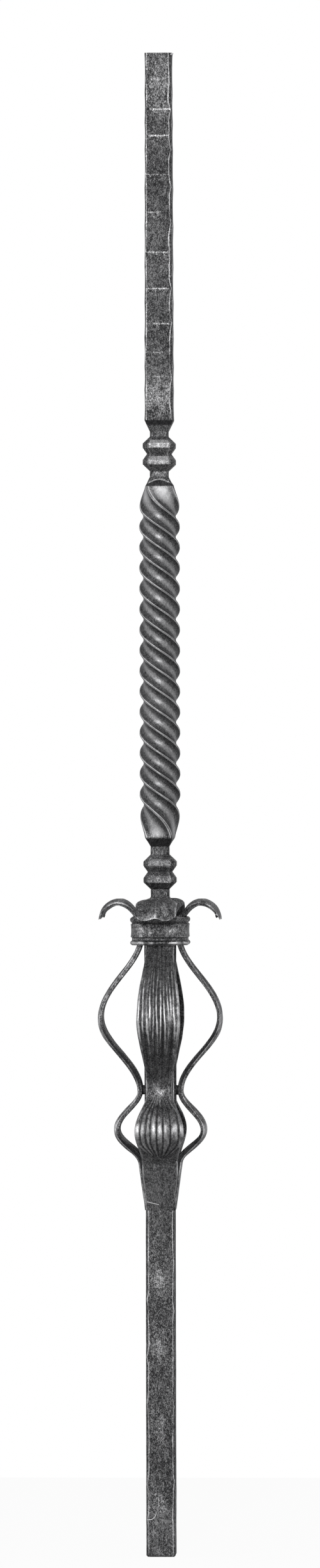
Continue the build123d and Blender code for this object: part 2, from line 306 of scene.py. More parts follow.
# Points of one side: steps in from each edge, an even row between them, and shares across the cut.
# The shine tells how near to an edge a point is.
EDGE_STEPS = (0.0, 0.35, 0.9)
FACE_ROW = 9
CUT_SHARES = (0.0, 0.2, 0.5, 0.8)
EDGE_SHINE = (1.0, 0.4, 0.0)
CUT_SHINE = (1.0, 0.25, 0.1, 0.25)

# Share across the face that stands for the corner cut, and the swell of the cut
ON_CUT = 2.0
CUT_SWELL = 0.14

# How the crown of the twist falls to its edges, and its valleys beside them
CROWN_POWER = 2.2
VALLEY_STEP = 1.5
VALLEY_WIDTH = 0.8


def side_rows(half, before, after, crown, valley):
    """Distance out, distance across and share of the points of one side."""
    left, right = before - half, half - after
    inner = np.linspace(0, 1, FACE_ROW + 2)[1:-1, None]
    start, end = left + EDGE_STEPS[-1], right - EDGE_STEPS[-1]
    across = [left + step for step in EDGE_STEPS]
    across += list(start + (end - start) * inner)
    across += [right - step for step in reversed(EDGE_STEPS[1:])]
    across = np.array(across)
    share = 2 * (across - left) / (right - left) - 1
    near_edge = np.minimum(across - left, right - across)
    out = half + crown * (1 - np.abs(share) ** CROWN_POWER)
    out = out - valley * bell(VALLEY_STEP, VALLEY_WIDTH, near_edge)
    cut_share = np.array(CUT_SHARES)[:, None]
    swell = CUT_SWELL * after * np.sin(math.pi * cut_share)
    cut_out = half - after * cut_share + swell
    cut_across = half - after * (1 - cut_share) + swell
    rows = ((out, cut_out), (across, cut_across), (share, np.full(cut_out.shape, ON_CUT)))
    return [np.concatenate(row) for row in rows]


def bar_rings(heights, half, cuts, crown, valley, turn):
    """Rings of a square bar, and the share, shine and side of each point."""
    points, shares = [], []
    for side in range(SIDES):
        out, across, share = side_rows(half, cuts[:, side - 1], cuts[:, side], crown, valley)
        points.append(faced(out, across, heights, turn + side * math.pi / 2))
        shares.append(share)
    shine = [*EDGE_SHINE, *([0.0] * FACE_ROW), *reversed(EDGE_SHINE[1:]), *CUT_SHINE]
    sides = np.repeat(np.arange(SIDES), len(shine))
    points = np.concatenate(points).transpose(1, 0, 2)
    return points, np.concatenate(shares).T, np.tile(shine, SIDES), sides


def twist_angle(heights):
    """Turn of the bar at each height, eased in and out at the ends."""
    length = TWIST_TOP_Z - TWIST_Z
    full = length - (LOWER_EASE + UPPER_EASE) / 2
    up = np.clip(heights - TWIST_Z, 0, length)
    down = length - up
    from_below, from_above = (
        np.where(way < ease, way**2 / (2 * ease), way - ease / 2)
        for way, ease in ((up, LOWER_EASE), (down, UPPER_EASE))
    )
    share = np.where(up < length / 2, from_below, full - from_above) / full
    return -2 * math.pi * TWIST_TURNS * share


def twisted_share(heights):
    """1 along the twist, fading to 0 at its ends."""
    low, high = TWIST_Z + FINISH_START, TWIST_TOP_Z - FINISH_START
    return window(low, high, FINISH_FADE, heights)


def knuckle_levels(start):
    """Levels of a knuckle from neck to neck: height, half width, corner cut."""
    neck = (NECK_HALF, NECK_CUT)
    bead = (BEAD_HALF, BEAD_CUT)
    waist = (KNUCKLE_WAIST_HALF, KNUCKLE_WAIST_CUT)
    slopes = (BEAD_OUTER_SLOPE, BEAD_LAND, BEAD_INNER_SLOPE)
    rises = (0.0, *slopes, *reversed(slopes))
    sections = (neck, bead, bead, waist, bead, bead, neck)
    height = start
    levels = []
    for rise, (half, cut) in zip(rises, sections):
        height += rise
        levels.append((height, half, cut))
    return levels


STEM_LEVELS = (
    (0.0, LOWER_HALF - END_BEVEL, BAR_CUT),
    (END_BEVEL, LOWER_HALF, BAR_CUT),
    (FOOT_END_Z, LOWER_HALF, BAR_CUT),
    (KNEE_Z, CORE_HALF, BAR_CUT),
    (CORE_TOP_Z, CORE_HALF, BAR_CUT),
    (CORE_NECK_Z, NECK_HALF, NECK_CUT),
    *knuckle_levels(LOWER_KNUCKLE_Z),
    (TWIST_Z, NECK_HALF, NECK_CUT),
    (TWIST_Z + SHOULDER, SHOULDER_HALF, TWIST_CUT),
    (TWIST_Z + LOWER_EASE, TWIST_HALF, TWIST_CUT),
    (TWIST_TOP_Z - UPPER_EASE, TWIST_HALF, TWIST_CUT),
    (TWIST_TOP_Z - SHOULDER, SHOULDER_HALF, TWIST_CUT),
    (TWIST_TOP_Z, NECK_HALF, NECK_CUT),
    *knuckle_levels(UPPER_KNUCKLE_Z),
    (HEAD_SHOULDER_Z, NECK_HALF, NECK_CUT),
    (UPPER_RUN_Z, UPPER_FOOT_HALF, BAR_CUT),
    (HEAD_Z, UPPER_HEAD_HALF, BAR_CUT),
)

# Stretches of the bar with the distance between their rings, and the extra rings at each ridge
RING_SPANS = (
    (0.0, 4.0, 0.5),
    (4.0, 280.0, 2.0),
    (280.0, 512.0, 4.0),
    (512.0, 570.0, 0.5),
    (570.0, 858.0, 0.9),
    (858.0, 912.0, 0.5),
    (912.0, 1196.0, 1.5),
    (1196.0, 1200.0, 0.5),
)
RIDGE_RINGS = (-0.9, -0.4, 0.0, 0.4, 0.9)


def ridge_heights(drop):
    """Heights of the hammer ridges, on faces where they lie lower by drop."""
    heights = [HEAD_Z - distance - drop for distance, *_ in HAMMER_RIDGES]
    return np.array([height for height in heights if height > UPPER_RUN_Z + RIDGE_CLEARANCE])


def stem_heights():
    """Heights of the bar's rings."""
    heights = [np.arange(low, high, step) for low, high, step in RING_SPANS]
    for drop in (0.0, HAMMER_SIDE_DROP):
        heights += [ridge_heights(drop) + step for step in RIDGE_RINGS]
    return np.unique(np.append(np.concatenate(heights), HEAD_Z).round(3))


def hollow(heights, drop):
    """Depth of the hammer hollows, 0 on the ridges and 1 between them."""
    stops = np.sort(np.append(ridge_heights(drop), (UPPER_RUN_Z, HEAD_Z)))
    spot = np.clip(np.searchsorted(stops, heights, "right") - 1, 0, len(stops) - 2)
    share = (heights - stops[spot]) / (stops[spot + 1] - stops[spot])
    inside = (heights > UPPER_RUN_Z) & (heights < HEAD_Z)
    return np.where(inside, arch(share), 0.0)


def pinched(heights, usual, pinches):
    """Size of a corner cut, drawn to a cusp at each pinch."""
    distance = np.min(np.abs(heights[:, None] - np.array(pinches)[None, :]), axis=1)
    share = np.clip(distance / PINCH_REACH, 0, 1) ** PINCH_POWER
    return PINCHED_CUT + (usual - PINCHED_CUT) * share


def corner_cuts(heights, cut):
    """Cuts of the four corners, in order from the back right round to the front right."""
    plain = ((heights < KNEE_Z) | (heights > UPPER_RUN_Z)).astype(float)
    blend = plain * smoothstep(0, CUT_BLEND, np.abs(heights - UPPER_RUN_Z))
    upper = heights > UPPER_RUN_Z
    shapes = (
        np.full_like(heights, BAR_CUT),
        np.full_like(heights, BAR_CUT),
        pinched(heights, np.where(upper, UPPER_LEFT_CUT, LOWER_LEFT_CUT), LEFT_PINCHES),
        pinched(heights, np.where(upper, UPPER_RIGHT_CUT, LOWER_RIGHT_CUT), RIGHT_PINCHES),
    )
    cuts = []
    for corner, shape in enumerate(shapes):
        aside = np.full_like(heights, corner * CORNER_SPACING)
        line = np.stack([aside, np.zeros_like(heights), heights], 1)
        wave = uneven(line, CUT_WAVES, corner)
        cuts.append((cut + (shape - cut) * blend) * (1 + wave * plain))
    return np.stack(cuts, 1)


# Dents of the bar, the skin that they may take up, and how far from its ends they fade
STEM_DENTS = ((0.12, 24.0, 31), (0.07, 9.0, 32), (0.05, 3.5, 33))
STEM_SKIN = 0.1
END_FADE = 1.5


def stem_surface(heights):
    """Rings of the bar with its hammer hollows and small dents."""
    levels = np.array(STEM_LEVELS)
    half, cut = (np.interp(heights, levels[:, 0], levels[:, column]) for column in (1, 2))
    from_below = smoothstep(TWIST_Z + CROWN_START, TWIST_Z + LOWER_EASE, heights)
    from_above = smoothstep(TWIST_TOP_Z - CROWN_START, TWIST_TOP_Z - UPPER_EASE, heights)
    swelling = from_below * from_above
    crown, valley = TWIST_CROWN * swelling, TWIST_VALLEY * swelling
    cuts = corner_cuts(heights, cut)
    made = bar_rings(heights, half, cuts, crown, valley, twist_angle(heights))
    points, shares, shine, sides = made
    hollows = [hollow(heights, drop)[:, None] for drop in (HAMMER_SIDE_DROP, 0.0)]
    depth = STEM_SKIN + HAMMER_DEPTH * np.where(np.isin(sides, SIDE_FACES)[None, :], *hollows)
    calm = 1 - TWIST_CALM * twisted_share(heights)[:, None]
    depth = depth + calm * uneven(points, STEM_DENTS)
    near_ends = smoothstep(0, END_FADE, heights) * smoothstep(0, END_FADE, HEAD_Z - heights)
    depth = depth * near_ends[:, None]
    points[:, :, :2] -= (ring_normals(points) * depth[:, :, None])[:, :, :2]
    return points, shares, shine, sides


# Rubbed edges: the breaks along them, and for plain bar, knuckle and twist the strength, what is
# added to the breaks, and their limits
EDGE_USUAL = 0.62
EDGE_BREAKS = ((0.8, 7.0, 41),)
EDGE_STRETCH = (1, 1, 0.6)
RUN_EDGES = ((1.15, 0.1, 0.3, 1.2), (0.5, 0.0, 0.1, 1.1), (1.5, 0.45, 0.75, 1.2))

# Rubbed places: grainy ends, bright bead fronts as height and strength, and pale patches
GRAINY_ENDS = (
    (0.35, 1175.0, 26.0),
    (0.42, 926.0, 14.0),
    (0.28, 864.5, 3.0),
    (0.6, 849.0, 7.0),
    (0.35, 578.0, 6.0),
    (0.2, 561.0, 3.0),
)
BRIGHT_BEADS = ((888.3, 0.6), (875.5, 0.5), (553.5, 0.34), (540.7, 0.3))
BEAD_SHINE = (4.0, 2.6)
PALE_PATCHES = ((0.42, 222.0, 12.0), (0.42, 168.0, 12.0), (0.42, 103.0, 12.0), (0.42, 44.0, 12.0))
PALE_ACROSS = (-0.15, 0.5)
LOWER_RUN_WEAR = (0.1, FOOT_END_Z, FOOT_END_Z - 40.0)
KNUCKLE_HIGHS = (0.4, 0.1, 0.35)
# Rubbed crown of each twisted face, brightened further by a painted highlight down its middle
CROWN_WEAR_AND_HIGHLIGHT = (0.36, 0.4, 0.95)
FACE_MARGIN = 0.12

# Dark bands: lower edge, upper edge and its arch. An arched one has a bright rim, given as strength,
# distance over the arch and width.
DARK_BANDS = ((903.6, 907.2, 0.0), (854.9, 856.4, 2.8), (567.3, 573.3, 0.0), (517.0, 523.0, 0.0))
BAND_FADE = 0.5
BAND_DARKENING = 0.95
BAND_COVER = 0.9
BAND_RIM = (0.9, 1.0, 0.55)

# Soot in the low places and on the corner cuts, painted shade on the sides of each twisted face beside its
# valleys, and the polish
STEM_LOWS = (0.8, 0.06, 0.4)
CUT_SOOT = 0.3
TWIST_SIDE_SHADE = ((0.6, 0.78, 0.17),)
KNUCKLE_EDGE = 0.01
KNUCKLE_POLISH = 0.4
EDGE_POLISH = 0.8


def ridge_wear(heights, shares, sides):
    """Bright rubbed crests of the hammer ridges, with a soft glow under each."""
    wear_and_highlight = np.zeros((len(heights), len(sides)))
    for side in range(SIDES):
        random = rng(RIDGE_SEED + side)
        drop = HAMMER_SIDE_DROP if side in SIDE_FACES else 0.0
        columns = np.flatnonzero(sides == side)
        share = shares[:, columns]
        for distance, strength, left, right in HAMMER_RIDGES:
            height = HEAD_Z - distance - drop
            if side != FRONT_SIDE:
                strength, left, right = (random.uniform(*ends) for ends in OTHER_RIDGES)
                left = -left
            reach = window(left + CREST_TRIM, right - CREST_TRIM, CREST_FADE, share)
            wear_and_highlight[:, columns] += strength * bells(CREST, heights - height)[:, None] * reach
    return wear_and_highlight


def edge_wear(points, runs):
    """Broken shine of the bar's edges, for its shares of plain bar, knuckle and twist."""
    along = EDGE_USUAL + uneven(points * EDGE_STRETCH, EDGE_BREAKS)
    return sum(
        run * strength * np.clip(along + more, least, most)
        for run, (strength, more, least, most) in zip(runs, RUN_EDGES)
    )


def face_wear_and_highlight(high, shares, fine, knuckles, twisted):
    """Rubbed places on the faces of the bar, with a painted highlight down the middle of each twisted
    face.
    """
    face = np.clip(1 - np.abs(shares), 0, 1)
    rubbed = bells(GRAINY_ENDS, high)
    for centre, strength in BRIGHT_BEADS:
        rubbed = rubbed + strength * smoothstep(*BEAD_SHINE, np.abs(high - centre))
    rubbed = rubbed + stepped(LOWER_RUN_WEAR, high) + stepped(KNUCKLE_HIGHS, fine) * knuckles
    # Painted highlight down the middle of each twisted face
    wear_and_highlight = rubbed * smoothstep(0.0, FACE_MARGIN, face) + stepped(CROWN_WEAR_AND_HIGHLIGHT, face) * twisted
    return wear_and_highlight + bells(PALE_PATCHES, high) * bell(*PALE_ACROSS, shares)


def dark_bands(wear_and_highlight, soot_and_shade, high, shares):
    """Less wear and more darkening under the dark bands, with the rim of an arched one."""
    across = np.clip(np.abs(shares), 0, 1)
    for low, top, rise in DARK_BANDS:
        edge = top + rise * (1 - across**2)
        in_band = window(low, edge, BAND_FADE, high)
        soot_and_shade = soot_and_shade + BAND_DARKENING * in_band
        wear_and_highlight = wear_and_highlight * (1 - BAND_COVER * in_band)
        if rise:
            strength, over, width = BAND_RIM
            rim = strength * bell(edge + over, width, high)
            wear_and_highlight = wear_and_highlight + rim * smoothstep(0.0, FACE_MARGIN, 1 - across)
    return wear_and_highlight, soot_and_shade


def stem_paint(points, heights, shares, shine, sides):
    """Wear, soot and polish of each point of the bar, with a painted highlight down the middle of each
    twisted face and painted shade on its sides.
    """
    fine = standing_out(points, rounds=STEM_SMOOTHING)
    high, shine = heights[:, None], shine[None, :]
    twisted = twisted_share(high)
    knuckles = window(CORE_TOP_Z, UPPER_RUN_Z, KNUCKLE_EDGE, high) * (1 - twisted)
    plain = 1 - twisted - knuckles
    wear_and_highlight = edge_wear(points, (plain, knuckles, twisted)) * shine + ridge_wear(heights, shares, sides)
    wear_and_highlight = wear_and_highlight + face_wear_and_highlight(high, shares, fine, knuckles, twisted)
    soot_and_shade = stepped(STEM_LOWS, -fine) * (1 - TWIST_CALM * twisted)
    soot_and_shade = soot_and_shade + CUT_SOOT * plain * (1 - shine) * (shares == ON_CUT)
    wear_and_highlight, soot_and_shade = dark_bands(wear_and_highlight, soot_and_shade, high, shares)
    # Painted shade on the sides of each twisted face
    soot_and_shade = soot_and_shade + twisted * bells(TWIST_SIDE_SHADE, np.abs(shares))
    return wear_and_highlight, soot_and_shade, twisted + KNUCKLE_POLISH * knuckles + EDGE_POLISH * plain * shine


# Tubes for the scratch near the foot and the burr at the head
SCRATCH_X = -9.4
SCRATCH_Y = 0.1 - LOWER_HALF
SCRATCH_Z = 35.2
SCRATCH_RADIUS = 5.6
SCRATCH_ARC = (-105, 5, 24)
SCRATCH_LIP = 0.42
BURR_ENDS = ((9.9, -10.3, HEAD_Z - 1.4), (12.0, -10.6, HEAD_Z - 0.7))
BURR_THICKNESS = 0.5
THREAD_SIDES = 8
MARK_PAINT = (1.0, 0.0, 0.8)
STEM_SHARP = 38


def thread(path, radius):
    """Thin round tube along a path, for a burr or the lip of a scratch."""
    path = np.asarray(path, float)
    along = np.gradient(path, axis=0)
    along = along / np.linalg.norm(along, axis=1, keepdims=True)
    aside = np.cross(along, (0.0, 1.0, 0.0))
    aside = aside / np.linalg.norm(aside, axis=1, keepdims=True)
    third = np.cross(aside, along)
    turns = np.linspace(0, 2 * math.pi, THREAD_SIDES, endpoint=False)[None, :, None]
    return path[:, None, :] + radius * (np.cos(turns) * aside[:, None] + np.sin(turns) * third[:, None])


def stem_marks():
    """Curved scratch near the foot, and the burr at the head."""
    turns = np.radians(np.linspace(*SCRATCH_ARC))
    x = SCRATCH_X + SCRATCH_RADIUS * np.cos(turns)
    z = SCRATCH_Z + SCRATCH_RADIUS * np.sin(turns)
    scratch = np.stack([x, np.full_like(turns, SCRATCH_Y), z], 1)
    return thread(scratch, SCRATCH_LIP), thread(np.linspace(*BURR_ENDS, 6), BURR_THICKNESS)


def make_stem():
    """The whole bar with its marks."""
    heights = stem_heights()
    points, shares, shine, sides = stem_surface(heights)
    shape = Shape()
    shape.add(points, *stem_paint(points, heights, shares, shine, sides))
    for mark in stem_marks():
        shape.add(mark, *MARK_PAINT)
    return shape.piece("baluster_bar", "stem", STEM_SHARP)


# Places along a leaf strap: reach, height and direction of its middle line, then half width,
# thickness, crown, and height of the two lobes on its back. Further on, a place along the strap is
# counted in legs: 0 is the foot, 1 the knee, 2 the small bulge and so on down this table.
LEAF_PLACES = (
    (9.6, FOOT_END_Z, (0.134, 1.0), 11.7, 5.4, 0.0, 0.0),
    (14.6, KNEE_Z, (0.134, 1.0), 14.4, 5.4, 0.0, 0.0),
    (34.8, SMALL_BULGE_Z, (0.0, 1.0), 19.7, 3.3, 0.9, 0.0),
    (16.0, WAIST_Z, (0.0, 1.0), 10.2, 4.2, 0.0, 0.0),
    (48.0, BIG_BULGE_Z, (0.0, 1.0), 17.5, 3.3, 0.9, 0.0),
    (14.6, THROAT_Z, (0.0, 1.0), 10.2, 4.2, 0.0, 0.0),
    (18.2, LIP_Z, (0.457, 0.889), 11.4, 4.0, 0.0, 0.0),
    (33.0, CURL_Z, (1.0, 0.0), 16.6, 2.9, -1.5, 1.4),
    (47.0, TIP_Z, (0.0, -1.0), 16.4, 2.0, -0.9, 0.8),
)
LEAF_STEP = 1.1
LEAF_BOW = 1.15
SHOW_POINTS = 61
BACK_POINTS = 25
SIDE_SHARES = (0.12, 0.4, 0.75)
CURL_TURN = math.radians(-2.6)
CURL_TURN_LEGS = (5.2, 6.8)
LEAF_SHARP = 55

# Ridges of the big bulge: places across, steps over the legs where they rise, fade and sink, and
# the ranges of their random drift, swing, strength and width
BIG_RIDGES = (-0.90, -0.77, -0.52, -0.40, -0.24, -0.08, 0.09, 0.29, 0.45, 0.58, 0.76, 0.92)
BIG_RISE = (1.0, 3.3, 3.85)
BIG_FADE = (0.45, 4.3, 4.85)
BIG_SINK = (0.3, 5.0, 4.7)
RIDGE_SHIFT = 0.025
RIDGE_DRIFT = 0.035
RIDGE_SWING = (0.75, 0.35)
DRIFT_LENGTHS = (8, 16)
SWING_LENGTHS = (9, 14)
PHASES = (0, 6)
RIDGE_STRENGTHS = (0.2, 0.85)
RIDGE_WIDTHS = (0.045, 0.07)

# Creases of the small bulge: places across, steps over the legs where the lobes between them rise
# and fall, and how they fan out from the knee and draw in at the waist
SMALL_CREASES = (-0.79, -0.55, -0.34, -0.11, 0.15, 0.44, 0.77)
CREASE_END = 1.02
CREASE_SHIFT = 0.03
SMALL_RISE = (0.95, 1.05, 1.6)
SMALL_FALL = (1.0, 2.45, 2.98)
FAN_LEAST = 0.22
FAN_OUT = (0.78, 1.0, 1.75)
FAN_IN = (0.4, 2.3, 2.95)
LOBE_DEPTHS = (0.55, 1.0)
LOBE_POWER = 0.6

# Even flutes at the waist and the throat: waves across, start and height
WAIST_FLUTES = (4.5, 0.6, 1.0)
WAIST_RISE = (1.0, 2.9, 3.25)
WAIST_FALL = (1.0, 3.75, 4.1)
THROAT_FLUTES = (6, 0.4, 0.3)
THROAT_WINDOW = (4.9, 5.2, 0.6)

# Edges of the strap: where its relief fades, how its arrises are rounded, waves, dents and cut tip
RELIEF_MARGIN = 0.07
SHOW_ARRIS = (0.18, 0.04)
BACK_ARRIS = (0.15, 0.05)
BACK_LOBE_POWER = 0.8
EDGE_WAVES = ((0.25, 12.0, 3),)
LEAF_DENTS = ((0.12, 10.0, 1), (0.05, 3.0, 2))
LEAF_SKIN = 0.12
TIP_LEGS = (7.55, 8.0)
TIP_SLOPE = 0.45
TIP_LOBES = ((1.7, -0.55, 0.33), (1.7, 0.5, 0.33))
TIP_CORNERS = (1.4, 0.8, 1.0)
TIP_LIFT = 0.5


def leaf_rows():
    """Samples along the strap: reach, height, direction, section, and place counted in legs."""
    rows = []
    for leg, (start, end) in enumerate(zip(LEAF_PLACES, LEAF_PLACES[1:])):
        a, b = np.array(start[:2]), np.array(end[:2])
        chord = np.linalg.norm(b - a)
        out, back = (np.array(place[2]) / np.linalg.norm(place[2]) * chord for place in (start, end))
        steps = round(chord * LEAF_BOW / LEAF_STEP)
        for step in range(steps + (leg == len(LEAF_PLACES) - 2)):
            t = step / steps
            middle = (2 * t**3 - 3 * t**2 + 1) * a + (t**3 - 2 * t**2 + t) * out
            middle = middle + (3 * t**2 - 2 * t**3) * b + (t**3 - t**2) * back
            along = (6 * t**2 - 6 * t) * (a - b) + (3 * t**2 - 4 * t + 1) * out
            along = along + (3 * t**2 - 2 * t) * back
            along = along / np.linalg.norm(along)
            ease = t * t * (3 - 2 * t)
            section = [p + (q - p) * ease for p, q in zip(start[3:], end[3:])]
            rows.append([*middle, *along, *section, leg + t])
    return np.array(rows)


def big_ridges(share, height, leg, random):
    """Ridges that run down the big bulge."""
    on_big = stepped(BIG_RISE, leg) * (1 - stepped(BIG_FADE, leg))
    relief = -on_big * stepped(BIG_SINK, leg)
    for line in BIG_RIDGES:
        place = line + random.uniform(-RIDGE_SHIFT, RIDGE_SHIFT)
        drift = np.sin(height / random.uniform(*DRIFT_LENGTHS) + random.uniform(*PHASES))
        wave = np.sin(height / random.uniform(*SWING_LENGTHS) + random.uniform(*PHASES))
        strength = random.uniform(*RIDGE_STRENGTHS) * mixed(RIDGE_SWING, wave)
        width = random.uniform(*RIDGE_WIDTHS)
        relief = relief + on_big * strength * bell(place + RIDGE_DRIFT * drift, width, share)
    return relief


def small_lobes(share, leg, random):
    """Rounded lobes between the creases of the small bulge."""
    fan = FAN_LEAST + stepped(FAN_OUT, leg) - stepped(FAN_IN, leg)
    shifts = np.array([0, *random.uniform(-CREASE_SHIFT, CREASE_SHIFT, len(SMALL_CREASES)), 0])
    creases = np.array([-CREASE_END, *SMALL_CREASES, CREASE_END]) + shifts
    spread = np.clip(share / fan, -1.0, 1.0)
    spot = np.clip(np.searchsorted(creases, spread, "right") - 1, 0, len(creases) - 2)
    lobe_share = (spread - creases[spot]) / (creases[spot + 1] - creases[spot])
    lobes = np.clip(arch(lobe_share), 0, 1) ** LOBE_POWER
    depth = random.uniform(*LOBE_DEPTHS, len(creases) - 1)[spot]
    return depth * lobes * stepped(SMALL_RISE, leg) * (1 - stepped(SMALL_FALL, leg))


def even_flutes(share, count, start, height):
    """Even flutes across the strap."""
    return height * (0.5 + 0.5 * np.cos(share * math.pi * count + start))


def flutes(share, height, leg, seed):
    """Relief of a strap's show face."""
    random = rng(seed)
    relief = big_ridges(share, height, leg, random)
    on_waist = stepped(WAIST_RISE, leg) * (1 - stepped(WAIST_FALL, leg))
    relief = relief + even_flutes(share, *WAIST_FLUTES) * on_waist
    relief = relief + even_flutes(share, *THROAT_FLUTES) * window(*THROAT_WINDOW, leg)
    return relief + small_lobes(share, leg, random)


def tip_drop(share):
    """How far the tip hangs down: two rounded lobes with a notch between."""
    return bells(TIP_LOBES, share) - stepped(TIP_CORNERS, np.abs(share)) - TIP_LIFT


def leaf_section(show, back, height, thick, crown, lobe, leg, seed):
    """Distances out from the strap's middle line, round its section."""
    inside = smoothstep(0.0, RELIEF_MARGIN, 1 - np.abs(show))
    front = thick / 2 - crown * show**2 + flutes(show, height, leg, seed) * inside
    depth, width = SHOW_ARRIS
    front = front - depth * thick * bell(1.0, width, np.abs(show))
    share = np.abs(back)
    rear = thick / 2 + crown * share**2 + 4 * lobe * (share * (1 - share)) ** BACK_LOBE_POWER
    depth, width = BACK_ARRIS
    rear = rear - depth * thick * bell(1.0, width, share)
    side = np.array(SIDE_SHARES)[None, :]
    right_side = front[:, -1:] * (1 - side) - rear[:, :1] * side
    left_side = (front[:, :1] * (1 - side) - rear[:, -1:] * side)[:, ::-1]
    return np.concatenate([front, right_side, -rear, left_side], 1)


def leaf_surface(rows, seed):
    """Rings of a leaf strap, and the share and kind of each point."""
    reach, height, along_x, along_z, half, thick, crown, lobe, leg = rows.T[:, :, None]
    show = np.linspace(-1, 1, SHOW_POINTS)
    back = np.linspace(1, -1, BACK_POINTS)
    out = leaf_section(show[None, :], back[None, :], height, thick, crown, lobe, leg, seed)
    sides = len(SIDE_SHARES)
    shares = np.concatenate([show, np.full(sides, 1.0), back, np.full(sides, -1.0)])
    kinds = ["show"] * SHOW_POINTS + ["side"] * sides + ["back"] * BACK_POINTS + ["side"] * sides
    line = np.concatenate([np.zeros_like(height), np.full_like(height, seed), height], 1)
    ragged = uneven(line, EDGE_WAVES, seed)[:, None]
    points = np.zeros((*out.shape, 3))
    points[:, :, 0] = reach + along_z * out
    points[:, :, 1] = shares[None, :] * (half + ragged)
    points[:, :, 2] = height - along_x * out
    points[:, :, 2] -= smoothstep(*TIP_LEGS, leg) * (tip_drop(shares)[None, :] - TIP_SLOPE * out)
    dents = uneven(points + seed, LEAF_DENTS, seed) - LEAF_SKIN
    points = points + ring_normals(points) * dents[:, :, None]
    return points, shares, np.array(kinds)


# Wear and painted highlights of a strap's show face. Pairs are what is left between patches, and what the
# patches add.
SHOW_WEAR_AND_HIGHLIGHTS = ((0.45, 2.02, 0.17), (1.0, 4.02, 0.26), (0.5, 2.9, 0.2))
RIDGE_CRESTS = (1.0, 0.02, 0.13)
RIDGE_WEAR = 0.48
HIGH_WEAR_AND_HIGHLIGHT = 0.3
HIGH_PATCHES = (0.3, 0.7)
WAIST_HIGHLIGHT = ((1.0, 2.86, 0.2),)
WAIST_ACROSS = (-0.1, 0.65)
WAIST_PATCHES = (0.4, 0.6)
WAIST_STREAK = ((0.5, 2.8, 0.25),)
STREAK_ACROSS = (0.72, 0.05)
KNEE_WEAR = 0.12
KNEE_WINDOW = (1.25, 1.75, 0.2)
THROAT_SHINE = ((0.5, 4.93, 0.06),)

# Wear of its arrises, curl and tip, with painted highlights on its narrow sides and along lines of its
# curl
ARRIS_WIDTH = 0.03
ARRIS_WEAR = 0.9
ARRIS_USUAL = 0.4
ARRIS_BREAKS = ((1.3, 9.0, 5),)
SIDE_HIGHLIGHTS = ((0.3, 4.3, 0.45), (0.24, 2.2, 0.3), (0.18, 4.8, 0.25))
CURL_LEGS = (1.0, 6.4, 7.0)
# Lines along the middle and one edge of the curl's back, brightened as painted highlights
CURL_LINES = ((1.0, 0.0, 0.05), (1.0, 1.0, 0.06))
CURL_LINE_HIGHLIGHT = 0.9
CURL_PATCHES = (0.03, 0.2)
TIP_EDGE = (1.0, 7.93, 7.99)
TIP_PATCHES = (0.35, 0.65)

# Its soot, a darker back face, painted shade on its narrow sides, and its polish, and the patches and
# streaks that break up its wear
LEAF_LOWS = (0.8, 0.02, 0.12)
BACK_DARKENING = (0.35, 6.6, 6.2)
DARK_SIDES = ((3.2, 3.75, 0.25), (1.0, 1.75, 0.25))
DARK_SIDE_SHADE = 1.1
DIM_SIDE_SHADE = 0.45
SHOW_POLISH = 0.75
WAIST_DULL = ((0.55, 2.88, 0.4),)
BACK_POLISH = 0.4
SIDE_POLISH = 0.3
LEAF_PATCHES = (-0.2, 0.4, 6.0, 6, 1.0)
LEAF_STREAKS = (-0.35, 0.35, 2.6, 9, 0.2)


def show_wear_and_highlights(fine, leg, across, patches, streaks):
    """Wear of a strap's show face, with painted highlights on the apexes of its bulges and across its
    waist.
    """
    # Wear and painted highlights at the apexes of the bulges and at the waist
    high = bells(SHOW_WEAR_AND_HIGHLIGHTS, leg)
    wear_and_highlight = stepped(RIDGE_CRESTS, fine) * (RIDGE_WEAR + high) * mixed(HIGH_PATCHES, streaks)
    wear_and_highlight = wear_and_highlight + HIGH_WEAR_AND_HIGHLIGHT * high * mixed(HIGH_PATCHES, patches)
    # Painted highlight across the middle of the waist
    shine = bells(WAIST_HIGHLIGHT, leg) * bell(*WAIST_ACROSS, across)
    wear_and_highlight = wear_and_highlight + shine * mixed(WAIST_PATCHES, patches) + KNEE_WEAR * window(*KNEE_WINDOW, leg)
    wear_and_highlight = wear_and_highlight + bells(WAIST_STREAK, leg) * bell(*STREAK_ACROSS, across)
    return wear_and_highlight + bells(THROAT_SHINE, leg) * patches


